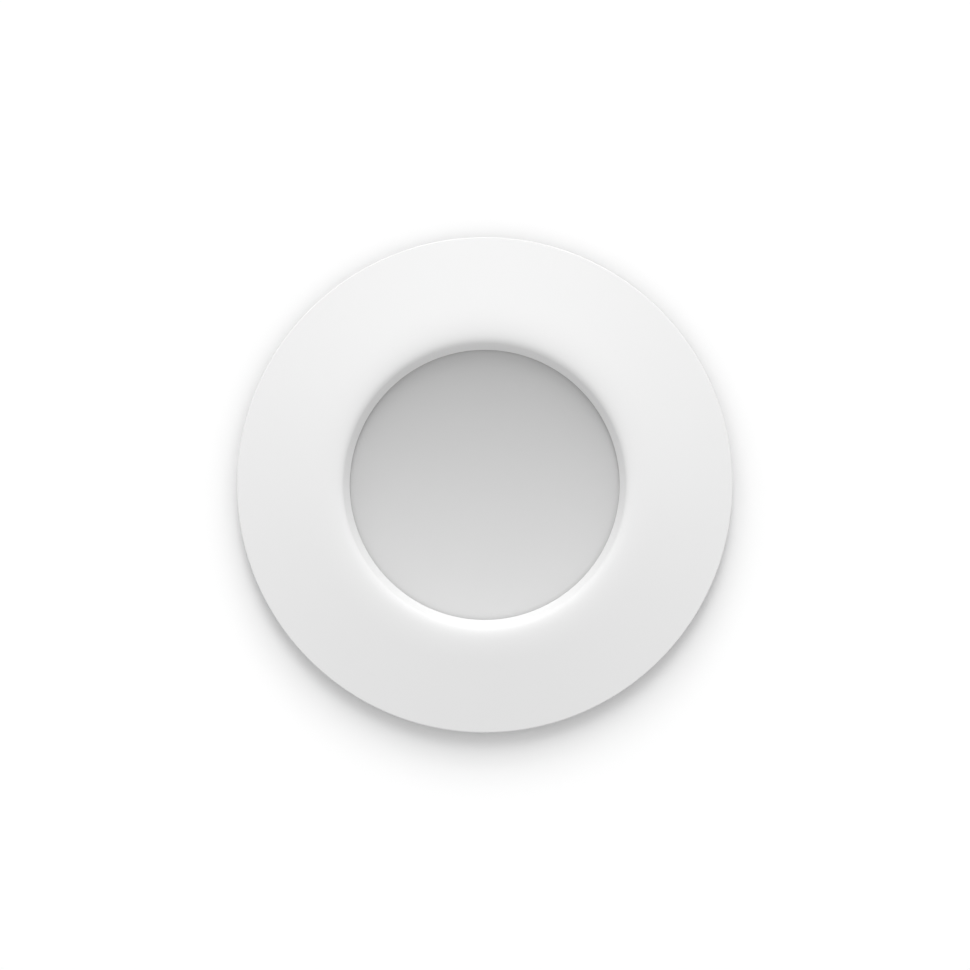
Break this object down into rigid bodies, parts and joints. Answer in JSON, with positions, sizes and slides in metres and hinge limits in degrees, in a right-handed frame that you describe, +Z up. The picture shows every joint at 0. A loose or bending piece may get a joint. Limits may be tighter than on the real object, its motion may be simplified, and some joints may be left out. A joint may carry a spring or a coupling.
{
  "type": "recessed light",
  "caption": "White round recessed light: sloped trim ring, dished opal lens, finned heat sink, spring clips and a rear terminal box with a hinged lid.",
  "frame": {"origin": "centre of the mounting surface, the back of the wall gasket", "axes": "the face looks along -Y, the body goes into the wall along +Y, +Z is up as in the picture, +X is to the right seen from the front; on a ceiling the part is turned about X so that it shines down"},
  "size_m": [0.114, 0.0765, 0.09],
  "materials": {
    "white_paint": "satin white powder coat",
    "opal": "opal, matt",
    "foam": "closed-cell foam",
    "seal_rubber": "silicone",
    "grommet_rubber": "moulded",
    "white_plastic": "moulded, matt",
    "white_mask": "white solder mask",
    "phosphor": "silicone fill",
    "pad": "thermal pad",
    "cast_aluminium": "die-cast, blasted",
    "zinc_steel": "zinc plated",
    "bracket_steel": "zinc plated sheet",
    "spring_steel": "drawn wire",
    "dark_plastic": "moulded, fine grain",
    "green_mask": "green solder mask",
    "ferrite": "sintered",
    "tape": "polyester tape",
    "can_sleeve": "shrink sleeve",
    "film_box": "moulded box",
    "chip": "moulded",
    "ceramic": "glazed",
    "terminal_grey": "moulded",
    "orange_plastic": "moulded",
    "blue_plastic": "moulded",
    "copper_spring": "rolled strip",
    "wire_red": "wire insulation",
    "wire_black": "wire insulation",
    "wire_brown": "wire insulation",
    "wire_blue": "wire insulation"
  },
  "bodies": {
    "lamp_body": {"trim_ring": "white_paint", "wall_gasket": "foam", "lens_gasket": "seal_rubber", "diffuser_lens": "opal", "body_seal": "seal_rubber", "reflector_cup": "white_plastic", "led_board": "white_mask", "led_packages": "white_plastic", "led_phosphors": "phosphor", "board_screws": "zinc_steel", "thermal_pad": "pad", "heat_sink": "cast_aluminium", "body_screws": "zinc_steel", "lead_grommet": "grommet_rubber", "led_lead_red": "wire_red", "led_lead_black": "wire_black", "rear_housing": "dark_plastic", "housing_screws": "zinc_steel", "driver_board": "green_mask", "transformer_core": "ferrite", "transformer_bobbin": "tape", "input_capacitor": "can_sleeve", "output_capacitor": "can_sleeve", "film_capacitor": "film_box", "choke": "ferrite", "rectifier": "chip", "driver_chip": "chip", "fuse": "ceramic", "rear_cover": "dark_plastic", "cover_seal": "seal_rubber", "cover_screws": "zinc_steel", "terminal_block": "terminal_grey", "terminal_springs": "copper_spring", "lid_pin": "zinc_steel", "cable_grommet": "grommet_rubber", "cable_clamp": "dark_plastic", "clamp_screws": "zinc_steel", "mains_lead_live": "wire_brown", "mains_lead_neutral": "wire_blue", "clip_right_bracket": "bracket_steel", "clip_right_bracket_screws": "zinc_steel", "clip_right_pin": "zinc_steel", "clip_right_spring": "spring_steel", "clip_left_bracket": "bracket_steel", "clip_left_bracket_screws": "zinc_steel", "clip_left_pin": "zinc_steel", "clip_left_spring": "spring_steel"},
    "clip_right": {"clip_right_arm": "bracket_steel", "clip_right_sleeve": "grommet_rubber"},
    "clip_left": {"clip_left_arm": "bracket_steel", "clip_left_sleeve": "grommet_rubber"},
    "lid": {"terminal_lid": "dark_plastic"},
    "button_live": {"release_button_live": "orange_plastic"},
    "button_neutral": {"release_button_neutral": "blue_plastic"}
  },
  "joints": [
    {"name": "clip_right_fold", "type": "hinge", "parent": "lamp_body", "child": "clip_right", "pos_m": [0.0312, 0.015, 0], "axis": [0, 0, 1], "range_deg": [0, 121], "stiffness_Nm_per_rad": 0.06, "springref_deg": -45.84, "deforming": ["clip_right_spring"]},
    {"name": "clip_left_fold", "type": "hinge", "parent": "lamp_body", "child": "clip_left", "pos_m": [-0.0312, 0.015, 0], "axis": [0, 0, -1], "range_deg": [0, 121], "stiffness_Nm_per_rad": 0.06, "springref_deg": -45.84, "deforming": ["clip_left_spring"]},
    {"name": "lid_hinge", "type": "hinge", "parent": "lamp_body", "child": "lid", "pos_m": [0, 0.06817, 0.0172], "axis": [1, 0, 0], "range_deg": [0, 110]},
    {"name": "release_live", "type": "slide", "parent": "lamp_body", "child": "button_live", "axis": [0, -1, 0], "range_m": [0, 0.0015], "stiffness_N_per_m": 500, "springref_m": -0.002},
    {"name": "release_neutral", "type": "slide", "parent": "lamp_body", "child": "button_neutral", "axis": [0, -1, 0], "range_m": [0, 0.0015], "stiffness_N_per_m": 500, "springref_m": -0.002}
  ]
}
